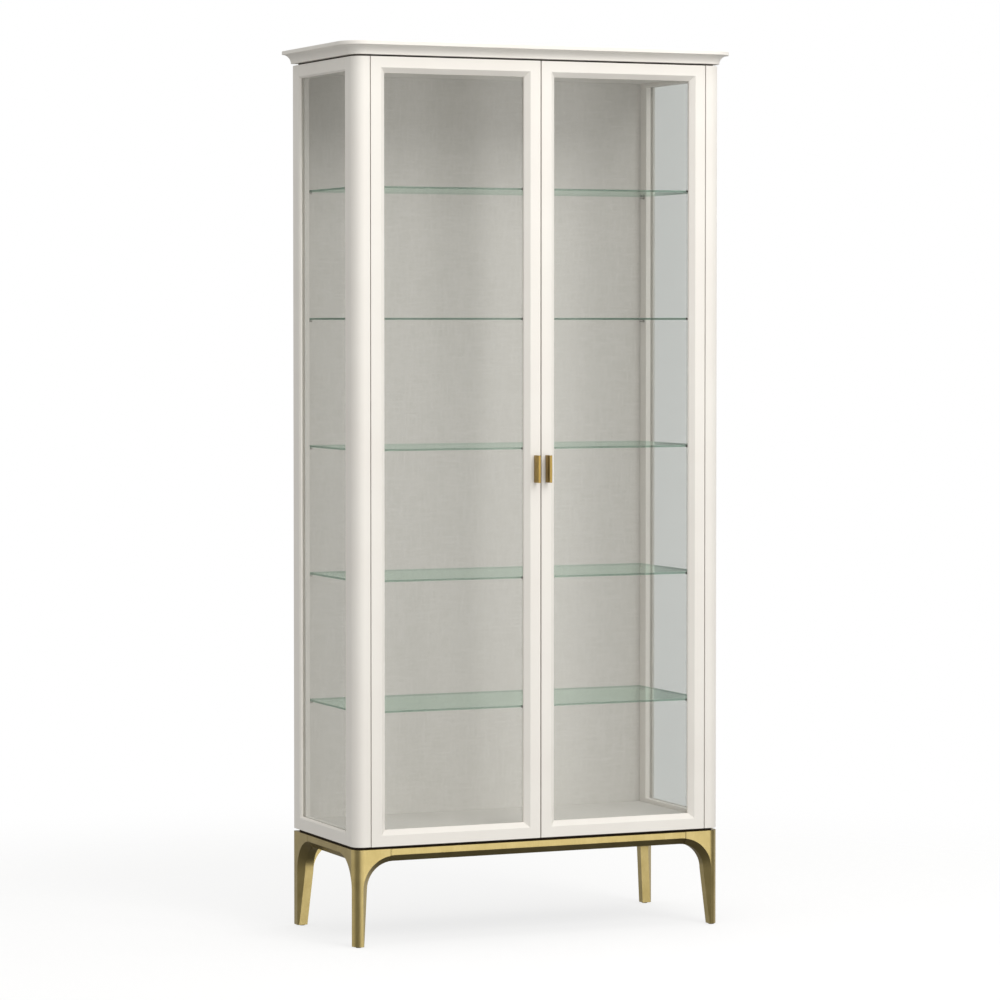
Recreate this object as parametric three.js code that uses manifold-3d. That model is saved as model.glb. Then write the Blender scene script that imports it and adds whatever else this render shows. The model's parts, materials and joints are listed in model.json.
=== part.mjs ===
// Curio cabinet: painted timber carcass with two framed glass doors, glass sides and glass
// shelves, standing on a brass-finished base. Units are millimetres, +Z is up and the doors
// face -Y. The origin is on the floor, under the middle of the overall width and depth.
import * as THREE from 'three';
import { mergeVertices } from 'three/addons/utils/BufferGeometryUtils.js';
import Module from 'manifold-3d';

const wasm = await Module();
wasm.setup();

// ---------- carcass ----------
const CARCASS_WIDTH = 944;
const CARCASS_DEPTH = 402;
const CARCASS_HEIGHT = 1832;
const CORNER_RADIUS = 27; // front corners of the posts, cornice and base
const SIDE_THICKNESS = 26; // side frames, measured through the wall
const POST_WIDTH = 40; // lip of the front post beside the door
const POST_DEPTH = 61; // front post seen from the side
const REAR_STILE_DEPTH = 42;
const SIDE_RAIL_HEIGHT = 32;
const SIDE_CHAMFER = 4; // around each side opening
const BOARD_THICKNESS = 22; // top and bottom boards
const DOOR_STOP_GAP = 2; // from the doors' rear faces to the boards
const BACK_THICKNESS = 6;
const BACK_INSET = 2; // rear face of the back panel, in from the rear edge
const BACK_LAP = 8; // how far the back panel runs over each rear stile

// ---------- cornice and shadow gaps ----------
const CORNICE_HEIGHT = 30;
const CORNICE_OVERHANG = 28; // top fillet, past the carcass on the front and sides
const CORNICE_FILLET = 9; // height of the square top edge
const CAVETTO_RADIUS = 21;
const CAVETTO_STEP = 2; // flat under the fillet
const TOP_GAP = 4;
const BOTTOM_GAP = 6;
const SPACER_INSET = 10.5; // the spacers stand back this far on the sides and rear

// ---------- doors ----------
const DOOR_THICKNESS = 22;
const DOOR_BEVEL_WIDTH = 12;
const DOOR_BEVEL_DEPTH = 11.4;
const DOOR_GAP = 2; // door to post
const MEETING_GAP = 3; // door to door
const DOOR_PANE = 4;
const DOOR_REBATE_LAP = 8;

// ---------- side glazing and shelves ----------
const SIDE_REBATE_LAP = 8;
const SIDE_REBATE_SETBACK = 7.4; // in from the outside face
const SIDE_PANE = 6;
const SHELF_COUNT = 5;
const SHELF_THICKNESS = 5;
const SHELF_PIN_RADIUS = 2.5; // the pins' holes are on the pitch lines, and a shelf lies on its pins
const SHELF_SIDE_CLEARANCE = 2;
const SHELF_FRONT = 33; // shelf edge, back from the carcass front
const SHELF_REAR_CLEARANCE = 6;
const FIT = 0.3; // clearance wherever one piece sits in another
const PAST = 1; // a cutting shape runs this far past the faces it opens
const ROUND_STEPS = 32;
const PANE_CLEARANCE = 0.5;

// ---------- base ----------
const BASE_HEIGHT = 228;
const BASE_RAIL_HEIGHT = 30.5;
const BASE_CHAMFER = 15;
const LEG_WIDTH = 36; // under the curve, before the taper
const LEG_FOOT = 24.5;
const LEG_CURVE = 64; // inner curve between leg and rail
const LEG_REACH = 90; // corner piece, from the corner to its seam
const SEAM = 0.6; // open joint between a corner piece and its rails
const GLIDE_HEIGHT = 5;
const GLIDE_PROUD = 2;
const GLIDE_MARGIN = 3; // from the glide to the edges of the foot

// ---------- handles ----------
const HANDLE_LENGTH = 64.5;
const HANDLE_THICKNESS = 6.7;
const HANDLE_REACH = 25.7;
const HANDLE_INSET = 9.8; // in from the door's meeting edge
const HANDLE_CENTRE = 873; // above the bottom of the door
const HANDLE_CHAMFER = 0.75;
const COVE_RADIUS = 4;
const COVE_SINK = 1.25;
const COVE_REACH = 18; // centre of the finger cove, out from the door

// ---------- hinges and catches ----------
const HINGE_FROM_END = 120; // end hinges, from the top and bottom of the door
const CUP_RADIUS = 13;
const CUP_DEPTH = 11;
const CUP_WALL = 1.2;
const CUP_EDGE = 1.5; // from the cup's hole to the door's edge
const CUP_TO_REBATE = 2; // from the cup's hole to the rebate for the pane
const ARM_GAP = 0.6; // behind the post's lip
const ARM_THICKNESS = 6.5;
const ARM_HEIGHT = 12;
const ARM_PAST_CUP = 4; // arm's end, past the middle of the cup
const PLATE_THICKNESS = 2;
const PLATE_HEIGHT = 46;
const PLATE_DEPTH = 27;
const MAGNET_RADIUS = 5;
const MAGNET_LENGTH = 20;
const STRIKE_RADIUS = 7;
const STRIKE_THICKNESS = 1.2;
const CATCH_X = 15; // from the middle of the cabinet

// ---------- curve steps ----------
const CORNER_STEPS = 8; // in a quarter circle
const CURVE_STEPS = 12;

// ---------- derived places ----------
const QUARTER = Math.PI / 2;
const HALF_WIDTH = CARCASS_WIDTH / 2;
const FRONT = (CORNICE_OVERHANG - CARCASS_DEPTH) / 2; // Y of the carcass front
const REAR = FRONT + CARCASS_DEPTH;
const CARCASS_BOTTOM = BASE_HEIGHT + BOTTOM_GAP;
const CARCASS_TOP = CARCASS_BOTTOM + CARCASS_HEIGHT;
const CORNICE_BOTTOM = CARCASS_TOP + TOP_GAP;
const SIDE_INNER = HALF_WIDTH - SIDE_THICKNESS; // X of the side frames' inside face
const BOARD_FRONT = FRONT + DOOR_THICKNESS + DOOR_STOP_GAP;
const BACK_FACE = REAR - BACK_INSET - BACK_THICKNESS;
const SHELF_PITCH = CARCASS_HEIGHT / (SHELF_COUNT + 1);
const DOOR_OUTER = HALF_WIDTH - POST_WIDTH - DOOR_GAP;
const DOOR_WIDTH = DOOR_OUTER - MEETING_GAP / 2;
const PIVOT_X = DOOR_OUTER + DOOR_GAP / 2; // hinge axis, in the middle of the gap at the front
const BASE_RAIL_BOTTOM = BASE_HEIGHT - BASE_RAIL_HEIGHT;
const BEYOND = 3 * BASE_CHAMFER; // base outlines run this far past faces that stay square
const CATCH_Z = CARCASS_HEIGHT - BOARD_THICKNESS / 2; // above the bottom of the door
const CUP_INSET = CUP_RADIUS + CUP_EDGE;

// The door's frame, flat and bevel together, is as wide as its hinge cups and pane rebate need.
const DOOR_FRAME_WIDTH = CUP_EDGE + 2 * CUP_RADIUS + CUP_TO_REBATE + DOOR_REBATE_LAP;

// The glide keeps its margin inside the largest circle that fits a front foot, which touches the
// two inner faces and the rounded corner, or the outer faces where the corner is sharper.
const FOOT_CIRCLE = Math.min(
  LEG_FOOT / 2,
  (CORNER_RADIUS - Math.SQRT2 * (CORNER_RADIUS - LEG_FOOT)) / (1 + Math.SQRT2),
);
const GLIDE_RADIUS = FOOT_CIRCLE - GLIDE_MARGIN;
const GLIDE_CENTRE = LEG_FOOT - FOOT_CIRCLE;
const SIDE_OPENING = {
  y0: FRONT + POST_DEPTH,
  y1: REAR - REAR_STILE_DEPTH,
  z0: CARCASS_BOTTOM + SIDE_RAIL_HEIGHT,
  z1: CARCASS_TOP - SIDE_RAIL_HEIGHT,
};

// The middle hinge sits half way between two shelves, so it never meets one.
const HINGES = {
  lower: HINGE_FROM_END,
  middle: (Math.floor(SHELF_COUNT / 2) + 1.5) * SHELF_PITCH,
  upper: CARCASS_HEIGHT - HINGE_FROM_END,
};

// ---------- materials ----------
const PAINT = { color: 0xeae6dd, roughness: 0.45, metalness: 0 };
const LINEN_BOARD = { color: 0xd6d0c0, roughness: 0.85, metalness: 0 };
const SHADOW_STRIP = { color: 0x2c2018, roughness: 0.8, metalness: 0 };
const BRASS = { color: 0xb59a62, roughness: 0.32, metalness: 1 };
const AGED_BRASS = { color: 0x96804b, roughness: 0.35, metalness: 1 };
const STEEL = { color: 0x8f9194, roughness: 0.35, metalness: 1 };
const NYLON = { color: 0x2a2826, roughness: 0.6, metalness: 0 };
const GLASS = { color: 0xcfdad4, roughness: 0.05, metalness: 0 };

const cabinet = new THREE.Group();

function add(name, geometry, look, parent = cabinet) {
  const mesh = new THREE.Mesh(geometry, new THREE.MeshStandardMaterial(look));
  mesh.name = name;
  parent.add(mesh);
}

// ---------- solids ----------
function toSolid(geometry) {
  const bare = geometry.index ? geometry.toNonIndexed() : geometry.clone();
  bare.deleteAttribute('normal');
  bare.deleteAttribute('uv');
  const merged = mergeVertices(bare);
  return new wasm.Manifold(new wasm.Mesh({
    numProp: 3,
    vertProperties: new Float32Array(merged.attributes.position.array),
    triVerts: new Uint32Array(merged.index.array),
  }));
}

function toGeometry(solid) {
  const mesh = solid.getMesh();
  const places = new THREE.BufferAttribute(new Float32Array(mesh.vertProperties), 3);
  const geometry = new THREE.BufferGeometry();
  geometry.setAttribute('position', places);
  geometry.setIndex(new THREE.BufferAttribute(new Uint32Array(mesh.triVerts), 1));
  geometry.computeVertexNormals();
  return geometry;
}

function cut(base, cutters) {
  return toGeometry(cutters.reduce((left, cutter) => left.subtract(toSolid(cutter)), toSolid(base)));
}

function join(pieces) {
  return toGeometry(pieces.map(toSolid).reduce((whole, piece) => whole.add(piece)));
}

function overlapOf(pieces) {
  return toGeometry(pieces.map(toSolid).reduce((whole, piece) => whole.intersect(piece)));
}

// Box between two corners, which may be given in either order.
function block(x0, x1, y0, y1, z0, z1) {
  const geometry = new THREE.BoxGeometry(Math.abs(x1 - x0), Math.abs(y1 - y0), Math.abs(z1 - z0));
  return geometry.translate((x0 + x1) / 2, (y0 + y1) / 2, (z0 + z1) / 2);
}

function outline(points) {
  return new THREE.Shape(points.map(([a, b]) => new THREE.Vector2(a, b)));
}

function rectangle(a0, a1, b0, b1) {
  return outline([[a0, b0], [a1, b0], [a1, b1], [a0, b1]]);
}

function ring(a0, a1, b0, b1, border) {
  const shape = rectangle(a0, a1, b0, b1);
  shape.holes.push(rectangle(a0 + border, a1 - border, b0 + border, b1 - border));
  return shape;
}

// Extrusion settings: with a bevel, the outline shrinks by that much at both ends.
function extrusion(length, bevel) {
  return {
    depth: length - 2 * bevel,
    bevelEnabled: bevel > 0,
    bevelThickness: bevel,
    bevelSize: bevel,
    bevelOffset: -bevel,
    bevelSegments: 1,
  };
}

// Extrudes an XY outline upwards.
function prismZ(shape, z0, z1) {
  return new THREE.ExtrudeGeometry(shape, extrusion(z1 - z0, 0)).translate(0, 0, z0);
}

// Extrudes an XZ outline along Y.
function prismY(shape, ya, yb, bevel = 0) {
  const geometry = new THREE.ExtrudeGeometry(shape, extrusion(Math.abs(yb - ya), bevel));
  return geometry.translate(0, 0, bevel).rotateX(QUARTER).translate(0, Math.max(ya, yb), 0);
}

// Extrudes a YZ outline along X.
function prismX(shape, xa, xb, bevel = 0) {
  const geometry = new THREE.ExtrudeGeometry(shape, extrusion(Math.abs(xb - xa), bevel));
  return geometry.translate(0, 0, bevel).rotateX(QUARTER).rotateZ(QUARTER).translate(Math.min(xa, xb), 0, 0);
}

// Turns a [radius, height] profile about an upright axis.
function turnedZ(profile, x, y, z, segments) {
  const points = profile.map(([r, h]) => new THREE.Vector2(r, h));
  return new THREE.LatheGeometry(points, segments).rotateX(QUARTER).translate(x, y, z);
}

// Turns a [radius, depth] profile about an axis that runs from front to back.
function turnedY(profile, x, y, z) {
  const points = profile.map(([r, h]) => new THREE.Vector2(r, h));
  return new THREE.LatheGeometry(points, ROUND_STEPS).translate(x, y, z);
}

function discProfile(radius, length) {
  return [[0, 0], [radius, 0], [radius, length], [0, length]];
}

// Points of a rounded outer corner, as distances in from the two outside faces.
function cornerArc() {
  const points = [];
  for (let i = 0; i <= CORNER_STEPS; i += 1) {
    const angle = (i / CORNER_STEPS) * QUARTER;
    points.push([CORNER_RADIUS * (1 - Math.cos(angle)), CORNER_RADIUS * (1 - Math.sin(angle))]);
  }
  return points;
}

// ---------- cornice and spacers ----------
// Edge moulding as [overhang, height] points, from the bottom up.
function corniceEdge() {
  const inner = CORNICE_OVERHANG - CAVETTO_STEP - CAVETTO_RADIUS;
  const underFillet = CORNICE_HEIGHT - CORNICE_FILLET;
  const points = [];
  for (let i = 0; i <= CORNER_STEPS; i += 1) {
    const angle = (i / CORNER_STEPS) * QUARTER;
    points.push([
      inner + CAVETTO_RADIUS * (1 - Math.cos(angle)),
      underFillet - CAVETTO_RADIUS * (1 - Math.sin(angle)),
    ]);
  }
  points.push([CORNICE_OVERHANG, underFillet], [CORNICE_OVERHANG, CORNICE_HEIGHT]);
  return points;
}

function cornice() {
  const edge = corniceEdge();
  const centreX = HALF_WIDTH - CORNER_RADIUS;
  const centreY = FRONT + CORNER_RADIUS;
  const frontPoints = [[REAR, 0], ...edge.map(([o, z]) => [FRONT - o, z]), [REAR, CORNICE_HEIGHT]];
  const right = edge.map(([o, z]) => [HALF_WIDTH + o, z]);
  const left = edge.map(([o, z]) => [-HALF_WIDTH - o, z]).reverse();
  const corner = [[0, 0], ...edge.map(([o, z]) => [CORNER_RADIUS + o, z]), [0, CORNICE_HEIGHT]];
  const pieces = [
    prismX(outline(frontPoints), -centreX, centreX),
    prismY(outline([...right, ...left]), centreY, REAR),
    turnedZ(corner, -centreX, centreY, 0, 4 * CORNER_STEPS),
    turnedZ(corner, centreX, centreY, 0, 4 * CORNER_STEPS),
  ];
  return join(pieces).translate(0, 0, CORNICE_BOTTOM);
}

// Strip that fills a shadow gap. It stands behind the doors and back from the other faces.
function spacer(z0, z1) {
  const x = HALF_WIDTH - SPACER_INSET;
  return block(-x, x, BOARD_FRONT, REAR - SPACER_INSET, z0, z1);
}

// ---------- carcass ----------
function board(z0) {
  return block(-SIDE_INNER, SIDE_INNER, BOARD_FRONT, BACK_FACE, z0, z0 + BOARD_THICKNESS);
}

function topBoard() {
  const holeLength = MAGNET_LENGTH + FIT + PAST;
  const hole = discProfile(MAGNET_RADIUS + FIT, holeLength);
  const z = CARCASS_BOTTOM + CATCH_Z;
  const holes = [-1, 1].map((side) => turnedY(hole, side * CATCH_X, BOARD_FRONT - PAST, z));
  return cut(board(CARCASS_TOP - BOARD_THICKNESS), holes);
}

// Cutters for one side opening: the chamfer outside and the glazing rebate inside.
function sideCutters(side) {
  const { y0, y1, z0, z1 } = SIDE_OPENING;
  const c = SIDE_CHAMFER;
  const lap = SIDE_REBATE_LAP;
  const wide = rectangle(y0 - c, y1 + c, z0 - c, z1 + c);
  const chamfer = prismX(wide, side * (HALF_WIDTH - c), side * (HALF_WIDTH + 3 * c), c);
  const rebateOuter = side * (HALF_WIDTH - SIDE_REBATE_SETBACK);
  const rebate = block(rebateOuter, side * (SIDE_INNER - PAST), y0 - lap, y1 + lap, z0 - lap, z1 + lap);
  return [chamfer, rebate];
}

function frontPost(side) {
  const lipRear = BOARD_FRONT - FRONT;
  const points = [
    ...cornerArc(), [POST_WIDTH, 0], [POST_WIDTH, lipRear], [SIDE_THICKNESS, lipRear],
    [SIDE_THICKNESS, POST_DEPTH], [0, POST_DEPTH],
  ];
  const shape = outline(points.map(([u, v]) => [side * (HALF_WIDTH - u), FRONT + v]));
  return cut(prismZ(shape, CARCASS_BOTTOM, CARCASS_TOP), sideCutters(side));
}

function rearStile(side) {
  const grooveX = side * (SIDE_INNER + BACK_LAP + FIT);
  const groove = block(
    side * (SIDE_INNER - PAST), grooveX, BACK_FACE - FIT, REAR + PAST,
    CARCASS_BOTTOM - PAST, CARCASS_TOP + PAST,
  );
  const inner = side * SIDE_INNER;
  const outer = side * HALF_WIDTH;
  const stile = block(inner, outer, SIDE_OPENING.y1, REAR, CARCASS_BOTTOM, CARCASS_TOP);
  return cut(stile, [...sideCutters(side), groove]);
}

function sideRail(side, z0) {
  const { y0, y1 } = SIDE_OPENING;
  const rail = block(side * SIDE_INNER, side * HALF_WIDTH, y0, y1, z0, z0 + SIDE_RAIL_HEIGHT);
  return cut(rail, sideCutters(side));
}

function sidePane(side) {
  const { y0, y1, z0, z1 } = SIDE_OPENING;
  const lap = SIDE_REBATE_LAP - PANE_CLEARANCE;
  const outer = HALF_WIDTH - SIDE_REBATE_SETBACK - FIT;
  return block(side * outer, side * (outer - SIDE_PANE), y0 - lap, y1 + lap, z0 - lap, z1 + lap);
}

function sideBead(side) {
  const { y0, y1, z0, z1 } = SIDE_OPENING;
  const lap = SIDE_REBATE_LAP - FIT;
  const outer = HALF_WIDTH - SIDE_REBATE_SETBACK - SIDE_PANE - 2 * FIT;
  return prismX(ring(y0 - lap, y1 + lap, z0 - lap, z1 + lap, lap), side * outer, side * SIDE_INNER);
}

function backPanel() {
  const x = SIDE_INNER + BACK_LAP;
  return block(-x, x, BACK_FACE, BACK_FACE + BACK_THICKNESS, CARCASS_BOTTOM, CARCASS_TOP);
}

function shelf(index) {
  const x = SIDE_INNER - SHELF_SIDE_CLEARANCE;
  const z0 = CARCASS_BOTTOM + index * SHELF_PITCH + SHELF_PIN_RADIUS;
  const y1 = BACK_FACE - SHELF_REAR_CLEARANCE;
  return block(-x, x, FRONT + SHELF_FRONT, y1, z0, z0 + SHELF_THICKNESS);
}

// ---------- base ----------
// One side of the base seen square on, between its two outside corners: two legs, a rail and the
// curves between them. It runs on past the outside faces, the top and the floor.
function portalOutline(a0, a1) {
  const springing = BASE_RAIL_BOTTOM - LEG_CURVE;
  const centre = LEG_WIDTH + LEG_CURVE;
  const curve = [];
  for (let i = 0; i <= CURVE_STEPS; i += 1) {
    const angle = (i / CURVE_STEPS) * QUARTER;
    curve.push([centre - LEG_CURVE * Math.cos(angle), springing + LEG_CURVE * Math.sin(angle)]);
  }
  const half = [[-BEYOND, -BEYOND], [LEG_WIDTH, -BEYOND], ...curve];
  const top = BASE_HEIGHT + BEYOND;
  return outline([
    ...half.map(([u, z]) => [a0 + u, z]),
    ...half.map(([u, z]) => [a1 - u, z]).reverse(),
    [a1 + BEYOND, top], [a0 - BEYOND, top],
  ]);
}

// The portals are chamfered on the outside faces. They run far enough in that the chamfer at
// their inner end takes nothing away.
function frontPortal(end) {
  const outer = end < 0 ? FRONT : REAR;
  const inner = outer - end * (LEG_REACH + BEYOND);
  return prismY(portalOutline(-HALF_WIDTH, HALF_WIDTH), outer, inner, BASE_CHAMFER);
}

function sidePortal(side) {
  const inner = side * (HALF_WIDTH - LEG_REACH - BEYOND);
  return prismX(portalOutline(FRONT, REAR), side * HALF_WIDTH, inner, BASE_CHAMFER);
}

// Wedge that tapers one inner face of a leg down to the foot.
function taperOutline(place) {
  const top = BASE_RAIL_BOTTOM - LEG_CURVE;
  const low = -top;
  const atLow = LEG_FOOT - (LEG_WIDTH - LEG_FOOT);
  return outline([
    [place(LEG_WIDTH), top], [place(atLow), low], [place(LEG_REACH), low], [place(LEG_REACH), top],
  ]);
}

function leg(side, end) {
  const placeX = (u) => side * (HALF_WIDTH - u);
  const placeY = (u) => (end < 0 ? FRONT + u : REAR - u);
  const reach = LEG_REACH - SEAM / 2;
  const corner = end < 0 ? cornerArc() : [[0, 0]];
  const plan = [
    ...corner, [reach, 0], [reach, LEG_WIDTH], [LEG_WIDTH, LEG_WIDTH], [LEG_WIDTH, reach], [0, reach],
  ];
  const planShape = outline(plan.map(([u, v]) => [placeX(u), placeY(v)]));
  const body = overlapOf([prismZ(planShape, GLIDE_PROUD, BASE_HEIGHT), frontPortal(end), sidePortal(side)]);
  const seat = discProfile(GLIDE_RADIUS + FIT, GLIDE_HEIGHT + FIT + PAST);
  return cut(body, [
    prismY(taperOutline(placeX), placeY(-PAST), placeY(LEG_REACH)),
    prismX(taperOutline(placeY), placeX(-PAST), placeX(LEG_REACH)),
    turnedZ(seat, placeX(GLIDE_CENTRE), placeY(GLIDE_CENTRE), -PAST, ROUND_STEPS),
  ]);
}

function glide(side, end) {
  const x = side * (HALF_WIDTH - GLIDE_CENTRE);
  const y = end < 0 ? FRONT + GLIDE_CENTRE : REAR - GLIDE_CENTRE;
  return turnedZ(discProfile(GLIDE_RADIUS, GLIDE_HEIGHT), x, y, 0, ROUND_STEPS);
}

function longBaseRail(end) {
  const x = HALF_WIDTH - LEG_REACH - SEAM / 2;
  const outer = end < 0 ? FRONT : REAR;
  return overlapOf([block(-x, x, outer, outer - end * LEG_WIDTH, 0, BASE_HEIGHT), frontPortal(end)]);
}

function sideBaseRail(side) {
  const inset = LEG_REACH + SEAM / 2;
  const inner = side * (HALF_WIDTH - LEG_WIDTH);
  const bar = block(side * HALF_WIDTH, inner, FRONT + inset, REAR - inset, 0, BASE_HEIGHT);
  return overlapOf([bar, sidePortal(side)]);
}

// ---------- doors ----------
// Door pieces are drawn round the hinge axis, with Y from the front face back and Z from the
// bottom edge up. doorX gives the place of a point that far in from the outer edge.
function doorX(side, inset) {
  return -side * (DOOR_GAP / 2 + inset);
}

// Rectangle that lies this far in from every edge of the door, as [x0, x1, z0, z1].
function doorRectangle(side, inset) {
  const a = doorX(side, inset);
  const b = doorX(side, DOOR_WIDTH - inset);
  return [Math.min(a, b), Math.max(a, b), inset, CARCASS_HEIGHT - inset];
}

function doorFrame(side) {
  const slab = prismY(ring(...doorRectangle(side, 0), DOOR_FRAME_WIDTH), 0, DOOR_THICKNESS);
  const bevel = new THREE.ExtrudeGeometry(rectangle(...doorRectangle(side, DOOR_FRAME_WIDTH)), {
    depth: DOOR_THICKNESS,
    bevelThickness: DOOR_BEVEL_DEPTH,
    bevelSize: DOOR_BEVEL_WIDTH,
    bevelSegments: 1,
  }).rotateX(QUARTER);
  const [x0, x1, z0, z1] = doorRectangle(side, DOOR_FRAME_WIDTH - DOOR_REBATE_LAP);
  const rebate = block(x0, x1, DOOR_THICKNESS - DOOR_PANE - FIT, DOOR_THICKNESS + PAST, z0, z1);
  const hole = discProfile(CUP_RADIUS, CUP_DEPTH + PAST);
  const cupY = DOOR_THICKNESS - CUP_DEPTH;
  const holes = Object.values(HINGES).map((z) => turnedY(hole, doorX(side, CUP_INSET), cupY, z));
  return cut(slab, [bevel, rebate, ...holes]);
}

function doorPane(side) {
  const inset = DOOR_FRAME_WIDTH - DOOR_REBATE_LAP + PANE_CLEARANCE;
  const [x0, x1, z0, z1] = doorRectangle(side, inset);
  return block(x0, x1, DOOR_THICKNESS - DOOR_PANE, DOOR_THICKNESS, z0, z1);
}

// Flat tab pull with a shallow finger cove down each face.
function handle(side) {
  const t = HANDLE_THICKNESS;
  const c = HANDLE_CHAMFER;
  const lift = COVE_RADIUS - COVE_SINK;
  const half = Math.acos(lift / COVE_RADIUS);
  const cove = (centre, from, to) => {
    const points = [];
    for (let i = 0; i <= CORNER_STEPS; i += 1) {
      const angle = from + ((to - from) * i) / CORNER_STEPS;
      points.push([centre + COVE_RADIUS * Math.cos(angle), COVE_RADIUS * Math.sin(angle) - COVE_REACH]);
    }
    return points;
  };
  const points = [
    [0, 0], ...cove(-lift, half, -half), [0, c - HANDLE_REACH], [c, -HANDLE_REACH],
    [t - c, -HANDLE_REACH], [t, c - HANDLE_REACH], ...cove(t + lift, Math.PI + half, Math.PI - half), [t, 0],
  ];
  const shape = outline(points.map(([a, y]) => [doorX(side, DOOR_WIDTH - HANDLE_INSET - a), y]));
  return prismZ(shape, HANDLE_CENTRE - HANDLE_LENGTH / 2, HANDLE_CENTRE + HANDLE_LENGTH / 2);
}

// ---------- hinges and catches ----------
// Steel cup, open to the rear, let into the back of the door.
function hingeCup(side, z) {
  const r = CUP_RADIUS - FIT;
  const length = CUP_DEPTH - FIT;
  const bore = r - CUP_WALL;
  const profile = [[0, 0], [r, 0], [r, length], [bore, length], [bore, CUP_WALL], [0, CUP_WALL]];
  return turnedY(profile, doorX(side, CUP_INSET), DOOR_THICKNESS - length, z);
}

// Mounting plate on the side wall, with an arm that reaches across to the cup.
function hingeArm(side, height) {
  const z = CARCASS_BOTTOM + height;
  const y0 = BOARD_FRONT + ARM_GAP;
  const wall = side * SIDE_INNER;
  const plateFace = side * (SIDE_INNER - PLATE_THICKNESS);
  const tip = side * (DOOR_OUTER - CUP_INSET - ARM_PAST_CUP);
  const plate = block(wall, plateFace, y0, y0 + PLATE_DEPTH, z - PLATE_HEIGHT / 2, z + PLATE_HEIGHT / 2);
  const arm = block(wall, tip, y0, y0 + ARM_THICKNESS, z - ARM_HEIGHT / 2, z + ARM_HEIGHT / 2);
  return join([plate, arm]);
}

function magnet(side) {
  const z = CARCASS_BOTTOM + CATCH_Z;
  return turnedY(discProfile(MAGNET_RADIUS, MAGNET_LENGTH), side * CATCH_X, BOARD_FRONT, z);
}

function strike(side) {
  const x = side * (CATCH_X - PIVOT_X);
  return turnedY(discProfile(STRIKE_RADIUS, STRIKE_THICKNESS), x, DOOR_THICKNESS, CATCH_Z);
}

// ---------- assembly ----------
add('cornice_top', cornice(), PAINT);
add('top_spacer', spacer(CARCASS_TOP, CORNICE_BOTTOM), SHADOW_STRIP);
add('carcass_top', topBoard(), PAINT);
add('carcass_bottom', board(CARCASS_BOTTOM), LINEN_BOARD);
add('bottom_spacer', spacer(BASE_HEIGHT, CARCASS_BOTTOM), SHADOW_STRIP);
add('back_panel', backPanel(), LINEN_BOARD);
for (let i = 1; i <= SHELF_COUNT; i += 1) {
  add(`shelf_${i}`, shelf(i), GLASS);
}
for (const [place, end] of [['front', -1], ['rear', 1]]) {
  add(`${place}_base_rail`, longBaseRail(end), BRASS);
}

for (const [word, side] of [['left', -1], ['right', 1]]) {
  add(`${word}_front_post`, frontPost(side), PAINT);
  add(`${word}_rear_stile`, rearStile(side), PAINT);
  add(`${word}_side_top_rail`, sideRail(side, SIDE_OPENING.z1), PAINT);
  add(`${word}_side_bottom_rail`, sideRail(side, CARCASS_BOTTOM), PAINT);
  add(`${word}_side_glass`, sidePane(side), GLASS);
  add(`${word}_side_bead`, sideBead(side), PAINT);
  add(`${word}_base_rail`, sideBaseRail(side), BRASS);
  add(`${word}_catch_magnet`, magnet(side), NYLON);
  for (const [place, end] of [['front', -1], ['rear', 1]]) {
    add(`${place}_${word}_leg`, leg(side, end), BRASS);
    add(`${place}_${word}_glide`, glide(side, end), NYLON);
  }

  const door = new THREE.Group();
  door.position.set(side * PIVOT_X, FRONT, CARCASS_BOTTOM);
  cabinet.add(door);
  add(`${word}_door_frame`, doorFrame(side), PAINT, door);
  add(`${word}_door_glass`, doorPane(side), GLASS, door);
  add(`${word}_handle`, handle(side), AGED_BRASS, door);
  add(`${word}_strike_disc`, strike(side), STEEL, door);
  for (const [level, height] of Object.entries(HINGES)) {
    add(`${word}_${level}_hinge_cup`, hingeCup(side, height), STEEL, door);
    add(`${word}_${level}_hinge_arm`, hingeArm(side, height), STEEL);
  }
}

export default cabinet;
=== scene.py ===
"""Curio cabinet: satin off-white timber, clear glass and satin brass. Sizes are in metres."""

import json
import math

import bmesh
import bpy
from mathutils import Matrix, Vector


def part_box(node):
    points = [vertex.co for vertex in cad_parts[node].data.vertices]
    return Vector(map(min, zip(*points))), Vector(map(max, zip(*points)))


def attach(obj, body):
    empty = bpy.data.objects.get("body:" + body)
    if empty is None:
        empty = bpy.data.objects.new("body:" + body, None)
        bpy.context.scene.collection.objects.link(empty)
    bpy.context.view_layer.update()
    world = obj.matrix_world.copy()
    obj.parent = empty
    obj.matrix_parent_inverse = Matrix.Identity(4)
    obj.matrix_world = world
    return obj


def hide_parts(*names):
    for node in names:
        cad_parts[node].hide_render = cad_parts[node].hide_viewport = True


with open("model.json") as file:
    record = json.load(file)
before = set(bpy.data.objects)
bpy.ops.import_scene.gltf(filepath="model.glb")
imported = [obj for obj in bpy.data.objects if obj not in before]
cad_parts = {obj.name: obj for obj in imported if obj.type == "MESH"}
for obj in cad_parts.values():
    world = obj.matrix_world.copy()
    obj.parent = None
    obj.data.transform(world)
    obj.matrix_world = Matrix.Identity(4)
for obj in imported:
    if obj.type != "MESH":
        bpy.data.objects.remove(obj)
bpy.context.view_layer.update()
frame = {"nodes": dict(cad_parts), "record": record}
MM = 0.001
NODES = frame["nodes"]
SUBPARTS = frame["record"]["subparts"]
BODIES = frame["record"]["behaviour"]["bodies"]
BODY_OF = {name: body for body, names in BODIES.items() for name in names}
DOORS = {"left": -1, "right": 1}
SHELVES = [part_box(f"shelf_{i}") for i in range(1, 6)]
WALL_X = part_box("carcass_bottom")[1].x  # inside face of the right-hand side frame

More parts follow.
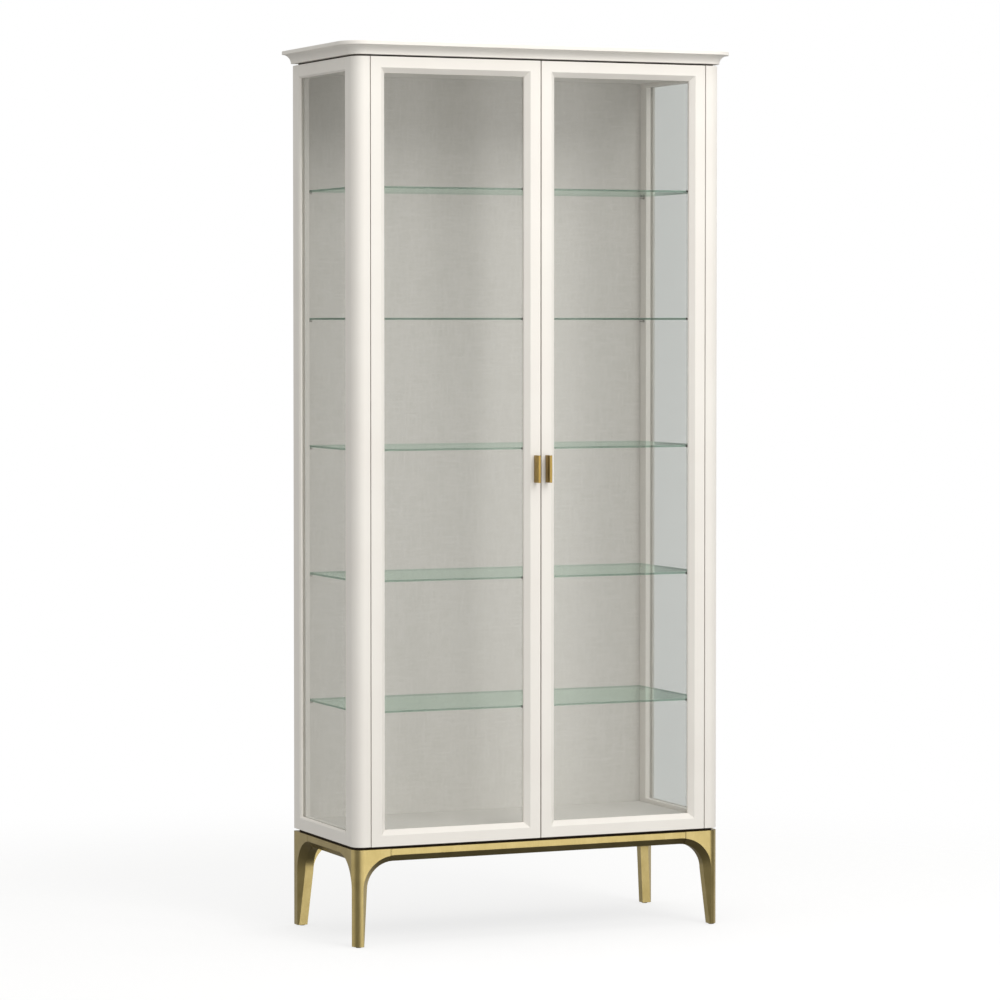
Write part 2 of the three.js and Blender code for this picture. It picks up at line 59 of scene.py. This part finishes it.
# ---------- edges: how much each finish rounds a corner ----------
EASED_EDGES = {
    "paint": 0.9 * MM, "brass": 1.2 * MM, "aged_brass": 0.7 * MM, "steel": 0.3 * MM,
    "nylon": 0.4 * MM, "shelf": 0.8 * MM,
}
EASED_STEPS = 3
SHARP_ANGLE = math.radians(30)
FLAT_ANGLE = math.radians(0.3)
MERGE_DISTANCE = 0.002 * MM

# ---------- fittings ----------
PIN_RADIUS = 2.5 * MM
PIN_LENGTH = 11 * MM  # shown length, from the side wall
PIN_COLLAR_RADIUS = 4 * MM
PIN_COLLAR_LENGTH = 1.5 * MM
PIN_FROM_FRONT = 14 * MM  # in from the shelf's front edge
PIN_FROM_REAR = 16 * MM
CLIP_STUD_RADIUS = 2.6 * MM
CLIP_STUD_LENGTH = 1.6 * MM
CLIP_TONGUE = (12.0 * MM, 1.0 * MM, 5.0 * MM)  # towards the glass, thickness, height
SCREW_HEAD_RADIUS = 3.6 * MM
SCREW_HEAD_HEIGHT = 1.2 * MM
SCREW_FROM_MIDDLE = 17 * MM  # the two screws of a hinge plate, above and below its middle
HINGE_PLATE = 2 * MM

# ---------- studio ----------
# What glossy faces mirror: a strength all round, and tall soft panels. A panel's numbers are its
# azimuth, the degrees it is full within, the degrees past which it is dark, and its strength.
ALL_ROUND = 0.40
PANELS = ((8, 16, 52, 1.7), (-120, 8, 44, 0.65), (120, 8, 44, 0.65))
FLOOR_RADIUS = 3.0
FLOOR_SOLID = 1.2  # from the middle, and past it the floor starts to fade
FLOOR_CLEAR = 2.6

# ---------- camera ----------
CAMERA_PLACE = Vector((-3.767, -8.623, 1.453))
CAMERA_YAW = math.radians(23.463)
CAMERA_PITCH = math.radians(1.943)
CAMERA_LENS = 141.2  # mm on a 36 mm sensor
CAMERA_SHIFT_UP = -0.045


# ---------- node and colour tools ----------
def to_linear(code):
    """An sRGB hex colour as linear red, green, blue and alpha."""
    channels = [int(code[i : i + 2], 16) / 255 for i in (1, 3, 5)]
    linear = [c / 12.92 if c <= 0.04045 else ((c + 0.055) / 1.055) ** 2.4 for c in channels]
    return (*linear, 1.0)


def node(tree, kind, settings=None, links=None):
    """Adds a node. settings are properties, or plain input values by name or number. links feed its
    inputs, by name or number, and a list feeds one input many times."""
    made = tree.nodes.new(kind)
    settings = settings or {}
    for key in [k for k in settings if isinstance(k, str) and k not in made.inputs]:
        setattr(made, key, settings[key])
    for key in [k for k in settings if not isinstance(k, str) or k in made.inputs]:
        made.inputs[key].default_value = settings[key]
    for key, source in (links or {}).items():
        for each in source if isinstance(source, list) else [source]:
            tree.links.new(each, made.inputs[key])
    return made


def new_material(name):
    material = bpy.data.materials.new(name)
    material.use_nodes = True
    material.node_tree.nodes.clear()
    return material, material.node_tree


def mottle(tree, size, detail=3.0, stretch=(1, 1, 1)):
    """Soft unevenness in the object's own space, with features about size across, longer where
    stretch says."""
    place = node(tree, "ShaderNodeTexCoord").outputs["Object"]
    drawn = node(tree, "ShaderNodeMapping", {"Scale": [1 / s for s in stretch]}, {"Vector": place})
    settings = {"Scale": 1 / size, "Detail": detail, "Roughness": 0.55}
    made = node(tree, "ShaderNodeTexNoise", settings, {"Vector": drawn.outputs["Vector"]})
    return made.outputs["Fac"]


def between(tree, factor, low, high, start=0.3, end=0.7):
    """A colour that goes from one hex colour to another as factor goes from start to end."""
    share = node(tree, "ShaderNodeMapRange", {"From Min": start, "From Max": end}, {"Value": factor})
    settings = {"data_type": "RGBA", 6: to_linear(low), 7: to_linear(high)}
    return node(tree, "ShaderNodeMix", settings, {0: share.outputs["Result"]}).outputs[2]


# ---------- materials ----------
def satin_lacquer():
    """Sprayed satin lacquer on timber: off-white, faintly uneven, with fine orange peel."""
    material, tree = new_material("satin_lacquer_sprayed_on_timber")
    cloud = mottle(tree, 160 * MM)
    peel = mottle(tree, 3.5 * MM, 1.5)
    gloss = node(tree, "ShaderNodeMapRange", {"To Min": 0.36, "To Max": 0.48}, {"Value": cloud})
    skin = node(tree, "ShaderNodeBump", {"Distance": 0.02 * MM, "Strength": 0.5}, {"Height": peel})
    shader = node(
        tree, "ShaderNodeBsdfPrincipled",
        {"IOR": 1.5, "Coat Weight": 0.12, "Coat Roughness": 0.3},
        {
            "Base Color": between(tree, cloud, "#e8e4de", "#ece9e3"),
            "Roughness": gloss.outputs["Result"],
            "Normal": skin.outputs["Normal"],
        },
    )
    node(tree, "ShaderNodeOutputMaterial", links={"Surface": shader.outputs["BSDF"]})
    return material


def linen_board():
    """Linen-textured melamine board: a cream plain weave pressed into a matte face."""
    material, tree = new_material("linen_texture_melamine_pressed")
    place = node(tree, "ShaderNodeTexCoord").outputs["Object"]
    # Threads are 1.6 mm wide here, coarser than real linen, because a finer weave would not show.
    thread = {"wave_type": "BANDS", "Scale": 0.31 / (1.6 * MM), "Distortion": 1.6, "Detail": 2.0}
    warp = node(tree, "ShaderNodeTexWave", {**thread, "bands_direction": "X"}, {"Vector": place})
    weft = node(tree, "ShaderNodeTexWave", {**thread, "bands_direction": "Z"}, {"Vector": place})
    threads = {0: warp.outputs["Fac"], 1: weft.outputs["Fac"]}
    weave = node(tree, "ShaderNodeMath", {"operation": "MAXIMUM"}, threads)
    level_slub = mottle(tree, 7 * MM, 3.0, stretch=(5, 1, 0.4))
    upright_slub = mottle(tree, 7 * MM, 3.0, stretch=(0.4, 1, 5))
    slub = node(tree, "ShaderNodeMath", {"operation": "MAXIMUM"}, {0: level_slub, 1: upright_slub})
    tone = node(
        tree, "ShaderNodeMath", {"operation": "MULTIPLY"}, {0: weave.outputs[0], 1: slub.outputs[0]},
    )
    relief = node(
        tree, "ShaderNodeBump", {"Distance": 0.08 * MM, "Strength": 0.5}, {"Height": weave.outputs[0]},
    )
    shader = node(
        tree, "ShaderNodeBsdfPrincipled", {"IOR": 1.45, "Roughness": 0.8},
        {
            "Base Color": between(tree, tone.outputs[0], "#cac7c0", "#e9e7e4", 0.1, 0.65),
            "Normal": relief.outputs["Normal"],
        },
    )
    node(tree, "ShaderNodeOutputMaterial", links={"Surface": shader.outputs["BSDF"]})
    return material


def gap_shade_strip():
    """Beech spacer strip in the shadow gaps: nearly black brown, which is painted shade of its recess,
    matte, with long fine grain.
    """
    material, tree = new_material("beech_strip_gap_shade_painted")
    grain = mottle(tree, 4 * MM, 5.0, stretch=(12, 1, 1))
    pores = node(tree, "ShaderNodeBump", {"Distance": 0.08 * MM, "Strength": 0.5}, {"Height": grain})
    # The near-black brown is painted shade: it darkens the spacer as the shade inside its recess would,
    # over the grain's own variation.
    shader = node(
        tree, "ShaderNodeBsdfPrincipled", {"IOR": 1.45, "Roughness": 0.75},
        {"Base Color": between(tree, grain, "#1d140e", "#38291d"), "Normal": pores.outputs["Normal"]},
    )
    node(tree, "ShaderNodeOutputMaterial", links={"Surface": shader.outputs["BSDF"]})
    return material


def brushed_brass(name, dark, light, roughness):
    """Satin brass: fine upright brush lines, and soft clouding of the clear lacquer over it."""
    material, tree = new_material(name)
    cloud = mottle(tree, 45 * MM, 2.0)
    # Brush lines are 0.7 mm apart, wider than real ones, so that they show.
    lines = mottle(tree, 0.7 * MM, 2.0, stretch=(1, 1, 30))
    both = node(tree, "ShaderNodeMath", {"operation": "ADD"}, {0: cloud, 1: lines})
    uneven = node(tree, "ShaderNodeMath", {"operation": "MULTIPLY", 1: 0.5}, {0: both.outputs[0]})
    satin = node(
        tree, "ShaderNodeMapRange", {"To Min": roughness - 0.05, "To Max": roughness + 0.07},
        {"Value": uneven.outputs[0]},
    )
    brushing = node(tree, "ShaderNodeBump", {"Distance": 0.012 * MM, "Strength": 0.6}, {"Height": lines})
    shader = node(
        tree, "ShaderNodeBsdfPrincipled", {"Metallic": 1.0},
        {
            "Base Color": between(tree, uneven.outputs[0], dark, light),
            "Roughness": satin.outputs["Result"],
            "Normal": brushing.outputs["Normal"],
        },
    )
    node(tree, "ShaderNodeOutputMaterial", links={"Surface": shader.outputs["BSDF"]})
    return material


def nickel_plate():
    """Nickel-plated pressed steel: grey, slightly warm, with faint rolling marks."""
    material, tree = new_material("nickel_plated_steel_pressed")
    marks = mottle(tree, 1.2 * MM, 3.0, stretch=(1, 1, 8))
    satin = node(tree, "ShaderNodeMapRange", {"To Min": 0.24, "To Max": 0.36}, {"Value": marks})
    rolled = node(tree, "ShaderNodeBump", {"Distance": 0.01 * MM, "Strength": 0.5}, {"Height": marks})
    shader = node(
        tree, "ShaderNodeBsdfPrincipled", {"Metallic": 1.0},
        {
            "Base Color": between(tree, marks, "#8d8c88", "#aeaca6"),
            "Roughness": satin.outputs["Result"],
            "Normal": rolled.outputs["Normal"],
        },
    )
    node(tree, "ShaderNodeOutputMaterial", links={"Surface": shader.outputs["BSDF"]})
    return material


def moulded_nylon():
    """Moulded nylon: near-black, with the fine spark texture of its mould."""
    material, tree = new_material("nylon_moulded")
    grit = mottle(tree, 0.6 * MM, 2.0)
    matte = node(tree, "ShaderNodeMapRange", {"To Min": 0.5, "To Max": 0.64}, {"Value": grit})
    sparked = node(tree, "ShaderNodeBump", {"Distance": 0.03 * MM, "Strength": 0.5}, {"Height": grit})
    shader = node(
        tree, "ShaderNodeBsdfPrincipled", {"IOR": 1.53},
        {
            "Base Color": between(tree, grit, "#232120", "#302e2b"),
            "Roughness": matte.outputs["Result"],
            "Normal": sparked.outputs["Normal"],
        },
    )
    node(tree, "ShaderNodeOutputMaterial", links={"Surface": shader.outputs["BSDF"]})
    return material


def float_glass(name, tint, cut_edge, sheen, waviness):
    """Clear float glass: light passes straight through its faces with a faint tint, an upright cut
    edge is greener, and it mirrors a little, more at a low angle. It is too thin for its bending of
    light to show, and lamps shine through it untinted."""
    material, tree = new_material(name)
    ripple = mottle(tree, 220 * MM, 1.0, stretch=(1, 1, 5))
    unflat = {"Distance": 0.35 * MM, "Strength": waviness}
    wavy = node(tree, "ShaderNodeBump", unflat, {"Height": ripple})
    polish = node(tree, "ShaderNodeMapRange", {"To Min": 0.01, "To Max": 0.05}, {"Value": ripple})
    mirror = node(
        tree, "ShaderNodeBsdfGlossy", {"Color": to_linear(sheen)},
        {"Roughness": polish.outputs["Result"], "Normal": wavy.outputs["Normal"]},
    )
    tinted = node(tree, "ShaderNodeBsdfTransparent", {"Color": to_linear(tint)})
    if cut_edge:
        facing = node(tree, "ShaderNodeTexCoord").outputs["Normal"]
        axes = node(tree, "ShaderNodeSeparateXYZ", links={"Vector": facing})
        level = node(tree, "ShaderNodeMath", {"operation": "ABSOLUTE"}, {0: axes.outputs["Z"]})
        tree.links.new(between(tree, level.outputs[0], cut_edge, tint), tinted.inputs["Color"])
    # Only the face that light meets first mirrors it. The far face would mirror all of it at a low
    # angle, because the light isn't bent on its way in.
    fresnel = node(tree, "ShaderNodeFresnel", {"IOR": 1.5})
    inside = node(tree, "ShaderNodeNewGeometry").outputs["Backfacing"]
    outside = node(tree, "ShaderNodeMath", {"operation": "SUBTRACT", 0: 1.0}, {1: inside})
    share = node(
        tree, "ShaderNodeMath", {"operation": "MULTIPLY"},
        {0: fresnel.outputs["Fac"], 1: outside.outputs[0]},
    )
    seen = node(
        tree, "ShaderNodeMixShader",
        links={"Fac": share.outputs[0], 1: tinted.outputs["BSDF"], 2: mirror.outputs["BSDF"]},
    )
    lit = node(tree, "ShaderNodeBsdfTransparent", {"Color": (1, 1, 1, 1)})
    path = node(tree, "ShaderNodeLightPath")
    both = node(
        tree, "ShaderNodeMixShader",
        links={
            "Fac": path.outputs["Is Camera Ray"], 1: lit.outputs["BSDF"], 2: seen.outputs["Shader"],
        },
    )
    node(tree, "ShaderNodeOutputMaterial", links={"Surface": both.outputs["Shader"]})
    return material


LACQUER = satin_lacquer()
LINEN = linen_board()
GAP_SHADE = gap_shade_strip()
BRASS = brushed_brass("brass_brushed_satin", "#998959", "#b0a070", 0.30)
AGED_BRASS = brushed_brass("brass_brushed_aged", "#8f7945", "#a48a50", 0.36)
NICKEL = nickel_plate()
NYLON = moulded_nylon()
PANE_GLASS = float_glass("float_glass_polished", "#ebeceb", None, "#ffffff", 0.5)
SHELF_GLASS = float_glass("float_glass_green_polished_edge", "#edf8f2", "#a3bdb0", "#e1f2ea", 0.15)
FINISHES = {
    "paint": LACQUER, "linen_board": LINEN, "shadow_strip": GAP_SHADE, "brass": BRASS,
    "aged_brass": AGED_BRASS, "steel": NICKEL, "nylon": NYLON, "glass": PANE_GLASS,
}


# ---------- the CAD nodes ----------
def dress(obj, material):
    obj.data.materials.clear()
    obj.data.materials.append(material)


def eased(name, width):
    """A copy of a CAD node with its corners rounded as its finish rounds them."""
    mesh = NODES[name].data.copy()
    mesh.name = f"{name}_eased"
    work = bmesh.new()
    work.from_mesh(mesh)
    bmesh.ops.remove_doubles(work, verts=work.verts, dist=MERGE_DISTANCE)
    bmesh.ops.dissolve_limit(work, angle_limit=FLAT_ANGLE, verts=work.verts, edges=work.edges)
    for face in work.faces:
        face.smooth = True
    work.to_mesh(mesh)
    work.free()
    piece = bpy.data.objects.new(f"{name}_eased", mesh)
    bpy.context.scene.collection.objects.link(piece)
    rounding = piece.modifiers.new("eased_edges", "BEVEL")
    rounding.limit_method = "ANGLE"
    rounding.angle_limit = SHARP_ANGLE
    rounding.width = width
    rounding.segments = EASED_STEPS
    level = piece.modifiers.new("level_faces", "WEIGHTED_NORMAL")
    level.weight = 100  # a broad face stays level and its rounded edges take all of the turn
    return piece


def dress_cad_nodes():
    """Gives every CAD node its finish, and stands an eased copy in for those that show an edge."""
    for part in SUBPARTS:
        name = part["node"]
        slot = part["material_slot"]
        shelf = name.startswith("shelf_")
        material = SHELF_GLASS if shelf else FINISHES[slot]
        dress(NODES[name], material)
        width = EASED_EDGES.get("shelf" if shelf else slot)
        if width is None:
            continue
        piece = eased(name, width)
        dress(piece, material)
        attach(piece, BODY_OF[name])
        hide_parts(name)


# ---------- fittings by Geometry Nodes ----------
def fitting_tree(name, build, sizes):
    """A tree that sets one built shape on every point. sizes are the named sizes it takes."""
    tree = bpy.data.node_groups.new(name, "GeometryNodeTree")
    tree.interface.new_socket("Geometry", in_out="INPUT", socket_type="NodeSocketGeometry")
    for key, value in sizes.items():
        kind = "NodeSocketVector" if isinstance(value, tuple) else "NodeSocketFloat"
        tree.interface.new_socket(key, in_out="INPUT", socket_type=kind)
    tree.interface.new_socket("Material", in_out="INPUT", socket_type="NodeSocketMaterial")
    tree.interface.new_socket("Geometry", in_out="OUTPUT", socket_type="NodeSocketGeometry")
    given = node(tree, "NodeGroupInput").outputs
    put = node(
        tree, "GeometryNodeInstanceOnPoints",
        links={"Points": given["Geometry"], "Instance": build(tree, given)},
    )
    real = node(tree, "GeometryNodeRealizeInstances", links={"Geometry": put.outputs["Instances"]})
    painted = node(
        tree, "GeometryNodeSetMaterial",
        links={"Geometry": real.outputs["Geometry"], "Material": given["Material"]},
    )
    node(tree, "NodeGroupOutput", links={"Geometry": painted.outputs["Geometry"]})
    return tree


def place_fittings(name, body, slot, places, build, sizes):
    """Runs a fitting tree on points, keeps the result as a plain mesh and lets it ride on a body."""
    points = bpy.data.meshes.new(f"{name}_points")
    points.from_pydata(places, [], [])
    carrier = bpy.data.objects.new(f"{name}_points", points)
    bpy.context.scene.collection.objects.link(carrier)
    tree = fitting_tree(f"{name}_tree", build, sizes)
    modifier = carrier.modifiers.new("fittings", "NODES")
    modifier.node_group = tree
    inputs = [item for item in tree.interface.items_tree if item.in_out == "INPUT"]
    sockets = {item.name: item.identifier for item in inputs}
    for key, value in {**sizes, "Material": FINISHES[slot]}.items():
        modifier[sockets[key]] = value
    evaluated = carrier.evaluated_get(bpy.context.evaluated_depsgraph_get())
    mesh = bpy.data.meshes.new_from_object(evaluated)
    mesh.name = name
    bpy.data.objects.remove(carrier)
    piece = bpy.data.objects.new(name, mesh)
    bpy.context.scene.collection.objects.link(piece)
    dress(piece, FINISHES[slot])
    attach(piece, body)


def rod(tree, radius, length, axis, along, sides=24):
    """A round rod of a given radius and length that starts at the point and runs along an axis."""
    made = node(
        tree, "GeometryNodeMeshCylinder", {"Vertices": sides}, {"Radius": radius, "Depth": length},
    )
    half = node(tree, "ShaderNodeMath", {"operation": "MULTIPLY", 1: along / 2}, {0: length})
    middle = node(tree, "ShaderNodeCombineXYZ", links={axis: half.outputs[0]})
    turn = (0, math.pi / 2, 0) if axis == "X" else (math.pi / 2, 0, 0)
    moved = node(
        tree, "GeometryNodeTransform", {"Rotation": turn},
        {"Geometry": made.outputs["Mesh"], "Translation": middle.outputs["Vector"]},
    )
    return moved.outputs["Geometry"]


def shelf_pins():
    """Nickel pins with a collar, two in each side wall under every shelf."""
    sizes = {
        "Radius": PIN_RADIUS, "Length": PIN_LENGTH,
        "Collar Radius": PIN_COLLAR_RADIUS, "Collar Length": PIN_COLLAR_LENGTH,
    }
    for word, side in DOORS.items():
        def build(tree, given, side=side):
            pin = rod(tree, given["Radius"], given["Length"], "X", -side)
            collar = rod(tree, given["Collar Radius"], given["Collar Length"], "X", -side)
            return node(tree, "GeometryNodeJoinGeometry", links={"Geometry": [pin, collar]}).outputs[0]

        places = [
            (side * WALL_X, y, low.z - PIN_RADIUS)
            for low, high in SHELVES
            for y in (low.y + PIN_FROM_FRONT, high.y - PIN_FROM_REAR)
        ]
        place_fittings(f"{word}_shelf_pins", "root", "steel", places, build, sizes)


def glass_clips():
    """Turn clips behind the doors: a dark stud and a short tongue that holds the pane, level with
    each shelf on both stiles."""
    sizes = {"Stud Radius": CLIP_STUD_RADIUS, "Stud Length": CLIP_STUD_LENGTH, "Tongue": CLIP_TONGUE}
    for word in DOORS:
        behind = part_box(f"{word}_door_frame")[1].y
        pane_low, pane_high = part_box(f"{word}_door_glass")
        for edge, inward, x in (("low", 1, pane_low.x), ("high", -1, pane_high.x)):
            def build(tree, given, inward=inward):
                stud = rod(tree, given["Stud Radius"], given["Stud Length"], "Y", 1)
                plate = node(tree, "GeometryNodeMeshCube", links={"Size": given["Tongue"]})
                shift = node(
                    tree, "ShaderNodeVectorMath", {"operation": "MULTIPLY", 1: (inward / 2, 0.5, 0)},
                    {0: given["Tongue"]},
                )
                tongue = node(
                    tree, "GeometryNodeTransform",
                    links={"Geometry": plate.outputs["Mesh"], "Translation": shift.outputs["Vector"]},
                )
                parts = [stud, tongue.outputs["Geometry"]]
                return node(tree, "GeometryNodeJoinGeometry", links={"Geometry": parts}).outputs[0]

            places = [
                (x - inward * CLIP_STUD_RADIUS, behind, (low.z + high.z) / 2) for low, high in SHELVES
            ]
            name = f"{word}_glass_clips_{edge}"
            place_fittings(name, f"{word}_door", "nylon", places, build, sizes)


def hinge_screws():
    """Countersunk screw heads, two on each hinge plate."""
    sizes = {"Head Radius": SCREW_HEAD_RADIUS, "Head Height": SCREW_HEAD_HEIGHT}
    for word, side in DOORS.items():
        def build(tree, given, side=side):
            return rod(tree, given["Head Radius"], given["Head Height"], "X", -side)

        face = side * (WALL_X - HINGE_PLATE)
        places = []
        for level in ("lower", "middle", "upper"):
            low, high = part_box(f"{word}_{level}_hinge_arm")
            middle = (low + high) / 2
            places += [(face, middle.y, middle.z + step * SCREW_FROM_MIDDLE) for step in (-1, 1)]
        place_fittings(f"{word}_hinge_screws", "root", "steel", places, build, sizes)


# ---------- stage ----------
def pale_floor():
    """Painted studio floor that glows a little, so that shadows on it stay soft. It fades out, so
    that no far edge shows, and it isn't mirrored in the metal."""
    material, tree = new_material("studio_floor_painted")
    place = node(tree, "ShaderNodeTexCoord").outputs["Object"]
    distance = node(tree, "ShaderNodeVectorMath", {"operation": "LENGTH"}, {0: place})
    fade = node(
        tree, "ShaderNodeMapRange",
        {"interpolation_type": "SMOOTHSTEP", "From Min": FLOOR_SOLID, "From Max": FLOOR_CLEAR},
        {"Value": distance.outputs["Value"]},
    )
    lit = node(tree, "ShaderNodeBsdfDiffuse", {"Color": to_linear("#868686")})
    glow = node(tree, "ShaderNodeEmission", {"Color": (1, 1, 1, 1), "Strength": 0.75})
    solid = node(
        tree, "ShaderNodeAddShader", links={0: lit.outputs["BSDF"], 1: glow.outputs["Emission"]},
    )
    clear = node(tree, "ShaderNodeBsdfTransparent")
    mixed = node(
        tree, "ShaderNodeMixShader",
        links={"Fac": fade.outputs["Result"], 1: solid.outputs["Shader"], 2: clear.outputs["BSDF"]},
    )
    node(tree, "ShaderNodeOutputMaterial", links={"Surface": mixed.outputs["Shader"]})
    bpy.ops.mesh.primitive_circle_add(vertices=96, radius=FLOOR_RADIUS, fill_type="NGON")
    floor = bpy.context.object
    floor.name = "studio_floor"
    floor.visible_glossy = False
    floor.visible_diffuse = False
    dress(floor, material)


def soft_box(name, place, target, size, power, colour):
    data = bpy.data.lights.new(name, "AREA")
    data.shape = "RECTANGLE"
    data.size, data.size_y = size
    data.energy = power
    data.color = to_linear(colour)[:3]
    lamp = bpy.data.objects.new(name, data)
    lamp.location = place
    lamp.visible_glossy = False
    lamp.rotation_euler = (Vector(target) - Vector(place)).to_track_quat("-Z", "Y").to_euler()
    bpy.context.scene.collection.objects.link(lamp)


def bright_towards(tree, direction, azimuth, inner, outer, strength):
    """Light from a tall soft panel: full within inner degrees of an azimuth and none past outer.
    Azimuth 0 is in front of the object, and 90 on its right."""
    angle = math.radians(azimuth)
    towards = (math.sin(angle), -math.cos(angle), 0)
    lined_up = node(
        tree, "ShaderNodeVectorMath", {"operation": "DOT_PRODUCT", 1: towards}, {0: direction},
    )
    settings = {"interpolation_type": "SMOOTHSTEP", "To Max": strength}
    settings |= {"From Min": math.cos(math.radians(outer)), "From Max": math.cos(math.radians(inner))}
    return node(tree, "ShaderNodeMapRange", settings, {"Value": lined_up.outputs["Value"]}).outputs[0]


def studio():
    """White surroundings as the camera sees them. Matte faces get an even light, darker from below.
    Glossy ones mirror a wide panel in front, one at each rear corner and a dark floor."""
    world = bpy.data.worlds.new("studio")
    world.use_nodes = True
    world.cycles.sampling_method = "NONE"
    bpy.context.scene.world = world
    tree = world.node_tree
    tree.nodes.clear()
    direction = node(tree, "ShaderNodeTexCoord").outputs["Generated"]
    height = node(tree, "ShaderNodeSeparateXYZ", links={"Vector": direction}).outputs["Z"]
    seen = node(tree, "ShaderNodeBackground", {"Color": (1, 1, 1, 1), "Strength": 1.0})

    even = node(
        tree, "ShaderNodeMapRange", {"From Min": -0.5, "From Max": 0.6, "To Min": 0.47, "To Max": 0.77},
        {"Value": height},
    )
    matte = node(
        tree, "ShaderNodeBackground",
        {"Color": to_linear("#f9f8f5")}, {"Strength": even.outputs["Result"]},
    )

    panels = [bright_towards(tree, direction, *panel) for panel in PANELS]
    total = node(tree, "ShaderNodeMath", {"operation": "ADD", 0: ALL_ROUND}, {1: panels[0]})
    for panel in panels[1:]:
        total = node(tree, "ShaderNodeMath", {"operation": "ADD"}, {0: total.outputs[0], 1: panel})
    above = node(
        tree, "ShaderNodeMapRange",
        {"interpolation_type": "SMOOTHSTEP", "From Min": -0.75, "From Max": 0.0, "To Min": 0.34},
        {"Value": height},
    )
    upright = {"Scale": (40, 40, 2)}
    folds = node(tree, "ShaderNodeMapping", upright, {"Vector": direction})
    uneven = node(
        tree, "ShaderNodeTexNoise", {"Scale": 1.0, "Detail": 2.0}, {"Vector": folds.outputs["Vector"]},
    )
    contrast = node(
        tree, "ShaderNodeMapRange", {"From Min": 0.3, "From Max": 0.7, "To Min": 0.4, "To Max": 1.6},
        {"Value": uneven.outputs["Fac"]},
    )
    shaded = node(
        tree, "ShaderNodeMath", {"operation": "MULTIPLY"},
        {0: total.outputs[0], 1: above.outputs["Result"]},
    )
    strength = node(
        tree, "ShaderNodeMath", {"operation": "MULTIPLY"},
        {0: shaded.outputs[0], 1: contrast.outputs["Result"]},
    )
    glossy = node(
        tree, "ShaderNodeBackground", {"Color": to_linear("#fffdf8")}, {"Strength": strength.outputs[0]},
    )

    path = node(tree, "ShaderNodeLightPath")
    soft = node(
        tree, "ShaderNodeMixShader",
        links={
            "Fac": path.outputs["Is Glossy Ray"],
            1: matte.outputs["Background"], 2: glossy.outputs["Background"],
        },
    )
    all_rays = node(
        tree, "ShaderNodeMixShader",
        links={
            "Fac": path.outputs["Is Camera Ray"],
            1: soft.outputs["Shader"], 2: seen.outputs["Background"],
        },
    )
    node(tree, "ShaderNodeOutputWorld", links={"Surface": all_rays.outputs["Shader"]})

    soft_box("key_box", (0.9, -3.6, 3.9), (0, 0, 1.1), (2.4, 2.0), 86, "#fffdfb")
    soft_box("low_box", (-0.2, -4.4, 1.2), (0, 0, 1.0), (2.4, 1.6), 25, "#fffdfa")
    soft_box("top_box", (0.2, -0.6, 4.2), (0, 0, 1.0), (2.6, 2.2), 30, "#ffffff")
    scene = bpy.context.scene
    scene.view_settings.view_transform = "Standard"
    scene.cycles.transparent_max_bounces = 32


def camera():
    data = bpy.data.cameras.new("camera")
    data.lens = CAMERA_LENS
    data.sensor_width = 36
    data.shift_y = CAMERA_SHIFT_UP
    data.clip_end = 100
    made = bpy.data.objects.new("camera", data)
    made.location = CAMERA_PLACE
    ahead = Vector((
        math.sin(CAMERA_YAW) * math.cos(CAMERA_PITCH),
        math.cos(CAMERA_YAW) * math.cos(CAMERA_PITCH),
        -math.sin(CAMERA_PITCH),
    ))
    made.rotation_euler = ahead.to_track_quat("-Z", "Y").to_euler()
    bpy.context.scene.collection.objects.link(made)
    bpy.context.scene.camera = made


camera()
dress_cad_nodes()
shelf_pins()
glass_clips()
hinge_screws()
pale_floor()
studio()
